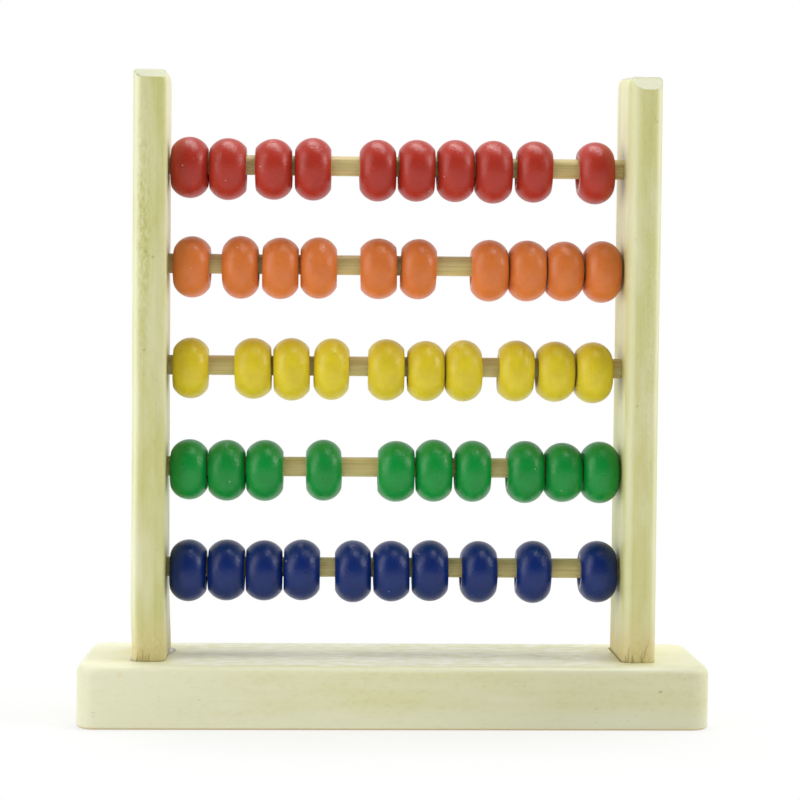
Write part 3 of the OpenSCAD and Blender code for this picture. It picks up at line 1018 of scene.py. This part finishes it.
def half_section(half, flat, rim, bore):
    """Right half of a bead's section from the middle of its bore to the top of its rim, as distances
    along and from the axis, and how near each point is to the flat's edge. Bore, chamfer and flat are
    straight lines. The rim is an arc through the flat's edge and the rim's top. A quadratic curve leaves
    the flat level and meets the arc along its tangent."""
    arc = (half ** 2 + (rim - flat) ** 2) / (2 * (rim - flat))
    end = math.asin(half / arc) - FLAT_EASE / arc
    turn = np.linspace(end, 0, RIM_STEPS)
    arc_x, arc_r = arc * np.sin(turn), rim - arc + arc * np.cos(turn)
    start_r, corner_r = flat - FLAT_EASE, arc_r[0] - (half - arc_x[0]) * math.tan(end)
    s = np.linspace(0, 1, EASE_STEPS)[1:-1]
    ease_x = (1 - s) ** 2 * half + 2 * s * (1 - s) * half + s ** 2 * arc_x[0]
    ease_r = (1 - s) ** 2 * start_r + 2 * s * (1 - s) * corner_r + s ** 2 * arc_r[0]
    mouth_x = np.linspace(half - BORE_CHAMFER, half, CHAMFER_STEPS)
    mouth_r = np.linspace(bore / 2, bore / 2 + BORE_CHAMFER, CHAMFER_STEPS)
    x = np.concatenate([[0.0, half / 2], mouth_x, [half], ease_x, arc_x])
    r = np.concatenate([[bore / 2] * 2, mouth_r, [start_r], ease_r, arc_r])
    return x, r, np.exp(-(np.hypot(x - half, r - flat) / RUB_REACH) ** 2)


def bead_section(thickness, diameter, bore, flats):
    """The whole section as a closed loop: the right half, then the left half mirrored and run back to the
    bore."""
    left, right = (np.array(half_section(thickness / 2, flat / 2, diameter / 2, bore)) for flat in flats)
    return np.concatenate([right, left[:, -2:0:-1] * [[-1], [1], [1]]], axis=1)


section = bead_section(11.2, 19.0, 8.2, (10.9, 10.9))
print("bead section", section.shape[1], "points, greatest radius", section[1].max().round(3), "mm")

# %% [markdown]
# Real beads differ by a few tenths of a millimetre, and their holes by more, so each one hangs at its own
# height and a little askew: where the two ends of its hole touch the rod. A bead with room on both sides
# hangs more askew than one in a cluster. A tilted bead is made thinner by what its tilt adds, so it never
# reaches past the room that its CAD solid has along the rod.

# %% One bead
# least and greatest diameters in millimetres of flats and bores, and shares of the CAD bead's size
FLATS, BORES = (10.9, 13.0), (8.0, 8.7)
THICKNESSES, DIAMETERS = (0.992, 1.0), (0.962, 1.004)
# the gap that a bead keeps from its rod, and how many degrees askew beads hang in a cluster and with room
TOUCH, LEAST_ASKEW, MOST_ASKEW = 0.02, 0.3, 1.2
# the share of the radius by which a bead is oval and three-cornered, from the flats' edges outwards
OVAL, THREE_CORNERED, OVAL_FROM, OVAL_TO = 0.006, 0.004, 5, 6.5
TONES, RUBBED = (-0.12, 0.18), 0.35
bead_turn = np.linspace(0, 2 * np.pi, 96, endpoint=False)
dice = np.random.default_rng(5)


def make_bead(node, paint, place, low, high, rod_z, rod_radius, gap):
    """A bead in the room of its CAD solid, on a rod at this height, with this gap at its nearer side."""
    middle, size = (low + high) / 2, high - low
    askew = np.clip(gap, LEAST_ASKEW, MOST_ASKEW)
    yaw, nod = np.radians(dice.normal(0, askew, 2).clip(-2 * askew, 2 * askew))
    flats, bore = dice.uniform(*FLATS, 2), dice.uniform(*BORES)
    thickness = (size[0] - flats.max() * math.hypot(yaw, nod)) * dice.uniform(*THICKNESSES)
    x, r, edge = bead_section(thickness, size[2] * dice.uniform(*DIAMETERS), bore, flats)
    room, half = bore / 2 - rod_radius - TOUCH, thickness / 2
    drop = math.sqrt(room ** 2 - (half * yaw) ** 2) - half * abs(nod)

    uneven = OVAL * np.cos(2 * bead_turn + dice.uniform(0, FULL_TURN))
    uneven = uneven + THREE_CORNERED * np.cos(3 * bead_turn + dice.uniform(0, FULL_TURN))
    wide = r[:, None] * (1 + uneven * fade(r, OVAL_FROM, OVAL_TO)[:, None])
    points = np.stack([x[:, None] + 0 * wide, wide * np.cos(bead_turn), wide * np.sin(bead_turn)], axis=-1)
    lean = np.array([[1, -yaw, -nod], [yaw, 1, 0], [nod, 0, 1]])
    points = points @ lean.T + [middle[0], middle[1], rod_z - drop]
    marks = {"tone": np.full(points.shape[:2], dice.uniform(*TONES)),
             "rub": RUBBED * edge[:, None] * fade(ripple(points, 6, place), 0.0, 0.9)}
    faces = ring_faces(*points.shape[:2], closed=True)[:, ::-1]
    bead = add_piece(node + "_paint", points, faces, marks)
    bead.data.materials.append(paint)
    return bead


print("bores of", BORES[0], "to", BORES[1], "mm")

# %% Beads
for row, (rod_low, rod_high) in rod_boxes.items():
    rod_z, rod_radius = (rod_low[2] + rod_high[2]) / 2, (rod_high[2] - rod_low[2]) / 2
    boxes = [millimetres(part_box(f"{row}_bead_{place}")) for place in range(1, BEADS_PER_ROD + 1)]
    starts = np.array([low[0] for low, _ in boxes] + [upright_boxes["right"][0][0]])
    ends = np.array([upright_boxes["left"][1][0]] + [high[0] for _, high in boxes])
    gaps = starts - ends
    for place, (low, high) in enumerate(boxes, start=1):
        node = f"{row}_bead_{place}"
        gap = gaps[place - 1:place + 1].min()
        bead = make_bead(node, paints[row], place, low, high, rod_z, rod_radius, gap)
        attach(bead, node)
        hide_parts(node)
    print(row, "beads, the last of", round(volume(bead.data)), "cubic mm")

# %% [markdown]
# ## Glue round the feet
# The squeezed-out glue is a thin line that runs round a foot where it meets the board, and a flat puddle
# along the left foot's inner side. A round tube would stand on the board like a cord. So its section is a
# quarter of an ellipse that lies against both pieces, carried round the foot's outline, and its size
# swells and dies away as it goes.

# %% Glue lines
# the line's own width and what its lumps add, its height as a share of its width, and its gaps in
# millimetres
GLUE_LINE, GLUE_SWELL, GLUE_HEIGHT = 0.05, 0.12, 0.4
GLUE_FROM_FOOT, GLUE_OVER_BOARD = 0.03, 0.02
# each lump's width, its place on the foot's outline and its spread along x and y, in millimetres
GLUE_LUMPS = {
    "left": ((1.5, 5, 6.0, 2, 6.0), (0.6, 5, 2.0, 2, 1.6), (0.7, 5, 7.0, 2, 1.8), (0.4, -5, -11, 3, 5)),
    "right": (),
}
weight_x, weight_y, facing = outline_columns(18, 44, 18)


def glue_reach(side, seed, half):
    """The width of the glue at each column of a foot's outline: a thin line that swells here and there,
    and the lumps, each a bell curve round its place."""
    around = np.stack([weight_x * half[0], weight_y * half[1], 0 * facing], axis=-1)
    reach = GLUE_LINE + GLUE_SWELL * fade(ripple(around, 4, 61 + seed), -0.2, 0.9)
    for width, x, y, spread_x, spread_y in GLUE_LUMPS[side]:
        bell = -((around[:, 0] - x) / spread_x) ** 2 - ((around[:, 1] - y) / spread_y) ** 2
        reach = reach + width * np.exp(bell)
    return reach


for seed, (side, (low, high)) in enumerate(upright_boxes.items()):
    half = (high - low) / 2
    reach = glue_reach(side, seed, half)
    turn = np.linspace(0, np.pi / 2, 7)
    out = np.concatenate([[0.0], np.cos(turn)])[:, None]
    rise = np.concatenate([[0.0], GLUE_HEIGHT * np.sin(turn)])[:, None]
    radius = UPRIGHT_CORNER + GLUE_FROM_FOOT + reach * out
    x = weight_x * (half[0] - UPRIGHT_CORNER) + radius * np.cos(facing)
    y = weight_y * (half[1] - UPRIGHT_CORNER) + radius * np.sin(facing)
    points = np.stack([x + (low[0] + high[0]) / 2, y, board_top + GLUE_OVER_BOARD + reach * rise], axis=-1)
    line = add_piece(side + "_foot_glue", points, ring_faces(*x.shape, closed=True))
    line.data.materials.append(glue)
    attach(line, "frame")
    print(line.name, round(volume(line.data), 2), "cubic mm")

# %% [markdown]
# ## The floor
# The toy stands on a white sweep, so floor and background are white in the photograph and only a faint
# shadow lies under the board. A floor that is merely lit would turn grey with distance. So it is partly a
# light of its own to the camera and in reflections, and more so away from the toy. To all other light it
# is paper with a fainter glow, which lights the toy from below.

# %% Floor
FLOOR_REACH, FLOOR_POINTS, FLOOR_GAP = 6000, 9, 0.02
floor_run = np.linspace(-FLOOR_REACH, FLOOR_REACH, FLOOR_POINTS)
floor_x, floor_y = np.meshgrid(floor_run, floor_run, indexing="ij")
floor_points = np.stack([floor_x, floor_y, 0 * floor_x - FLOOR_GAP], axis=-1)
index = np.arange(FLOOR_POINTS ** 2).reshape(FLOOR_POINTS, FLOOR_POINTS)
corners = [index[:-1, :-1], index[1:, :-1], index[1:, 1:], index[:-1, 1:]]
floor = add_piece("floor", floor_points, np.stack(corners, axis=-1).reshape(-1, 4))
print("floor", floor_points.shape[:2], "points")

# %% Floor material
# the toy is longer than it is deep, so distance is measured in rings of that shape, in metres
RING_SHAPE, RING_START, RING_END = (0.45, 1, 1), 0.03, 0.10
# share and strength of the glow that is seen, beside the toy and far away, and of the glow to all other
# light
SEEN_GLOW, SEEN_STRENGTH = (0.62, 1.0), (0.98, 1.0)
OTHER_GLOW, OTHER_STRENGTH = 0.2, 1.5

paper, paper_tree, paper_shader = new_material("white_paper_sweep")
for socket, value in (("Base Color", colour("#f0f0ee")), ("Roughness", 0.9), ("Specular IOR Level", 0.1)):
    paper_shader.inputs[socket].default_value = value
place = add_node(paper_tree, "ShaderNodeTexCoord", {}).outputs["Object"]
place = {0: place, 1: RING_SHAPE}
place = add_node(paper_tree, "ShaderNodeVectorMath", place, operation="MULTIPLY").outputs["Vector"]
distance = add_node(paper_tree, "ShaderNodeVectorMath", {0: place}, operation="LENGTH").outputs["Value"]
rays = add_node(paper_tree, "ShaderNodeLightPath", {}).outputs
seen = rays["Is Camera Ray"]
for ray in ("Is Glossy Ray", "Is Transmission Ray"):
    seen = add_node(paper_tree, "ShaderNodeMath", {0: seen, 1: rays[ray]}, operation="MAXIMUM").outputs[0]
glow = []
for (near, far), other in ((SEEN_GLOW, OTHER_GLOW), (SEEN_STRENGTH, OTHER_STRENGTH)):
    shown = {"Value": distance, 1: RING_START, 2: RING_END, 3: near, 4: far}
    shown = add_node(paper_tree, "ShaderNodeMapRange", shown, interpolation_type="SMOOTHSTEP").outputs[0]
    glow.append(add_node(paper_tree, "ShaderNodeMapRange", {"Value": seen, 3: other, 4: shown}).outputs[0])
white = add_node(paper_tree, "ShaderNodeEmission", {"Color": (1, 1, 1, 1), "Strength": glow[1]}).outputs[0]
blend = add_node(paper_tree, "ShaderNodeMixShader", {0: glow[0], 1: paper_shader.outputs[0], 2: white})
paper_tree.links.new(blend.outputs[0], paper_tree.nodes["Material Output"].inputs["Surface"])
floor.data.materials.append(paper)
print("floor material", paper.name)

# %% [markdown]
# ## The light
# The beads tell where the lamps stood. Each has a bright spot right of its middle, a tall soft streak at
# its left, a patch on top and a dark block in between. So there was a small bright box at the right, a
# tall panel at the left and a wide box overhead. Each lamp below has its direction from the toy, its
# distance, its width and height in metres, and its power.

# %% Lamps
LAMPS = {
    "left_panel": ((-0.865, -0.367, 0.342), 0.75, (0.45, 0.88), 2.9),
    "right_softbox": ((0.86, -0.18, 0.476), 1.0, (0.34, 0.46), 3.0),
    "overhead": ((0.08, 0.10, 0.98), 1.0, (0.95, 0.42), 7.7),
}
FOCUS = np.array([0.0, 0.0, 0.105])
for name, (direction, distance, size, power) in LAMPS.items():
    away = np.array(direction) / np.linalg.norm(direction)
    sideways = np.cross([0, 0, 1.0], away)
    sideways = sideways / np.linalg.norm(sideways)
    lamp = bpy.data.lights.new(name, "AREA")
    lamp.shape, lamp.energy = "RECTANGLE", power
    lamp.size, lamp.size_y = size
    holder = bpy.data.objects.new(name, lamp)
    stand(holder, sideways, np.cross(away, sideways), away, FOCUS + away * distance)
print("lamps", ", ".join(LAMPS))

# %% [markdown]
# Behind the toy the backdrop is white, and its light wraps round the edges of the beads. Towards the
# camera's side the room is dim, apart from a low band along the horizon, and it is darker overhead. Only
# the camera sees white everywhere.

# %% Backdrop
# the axis that each level follows, where along it the level changes, and the levels before and after
BACKDROP = {
    "backwards": ("Y", -0.8, 0.4, 0.12, 1.00),
    "horizon": ("Z", 0.0, 0.45, 0.5, 0.0),
    "zenith": ("Z", 0.3, 0.9, 1.0, 0.58),
}
world = bpy.data.worlds.new("studio")
bpy.context.scene.world = world
world.use_nodes = True
sky = world.node_tree
gaze = add_node(sky, "ShaderNodeTexCoord", {}).outputs["Generated"]
axes = add_node(sky, "ShaderNodeSeparateXYZ", {"Vector": gaze}).outputs
levels = {"camera": add_node(sky, "ShaderNodeLightPath", {}).outputs["Is Camera Ray"]}
for name, (axis, start, end, before, after) in BACKDROP.items():
    ramp = {"Value": axes[axis], 1: start, 2: end, 3: before, 4: after}
    levels[name] = add_node(sky, "ShaderNodeMapRange", ramp, interpolation_type="SMOOTHSTEP").outputs[0]
strength = levels["backwards"]
for name, step in (("horizon", "MAXIMUM"), ("zenith", "MULTIPLY"), ("camera", "MAXIMUM")):
    strength = add_node(sky, "ShaderNodeMath", {0: strength, 1: levels[name]}, operation=step).outputs[0]
sky.links.new(strength, sky.nodes["Background"].inputs["Strength"])
sky.nodes["Background"].inputs["Color"].default_value = (1, 1, 1, 1)
bpy.context.scene.view_settings.view_transform = "Standard"
print("backdrop", ", ".join(levels))
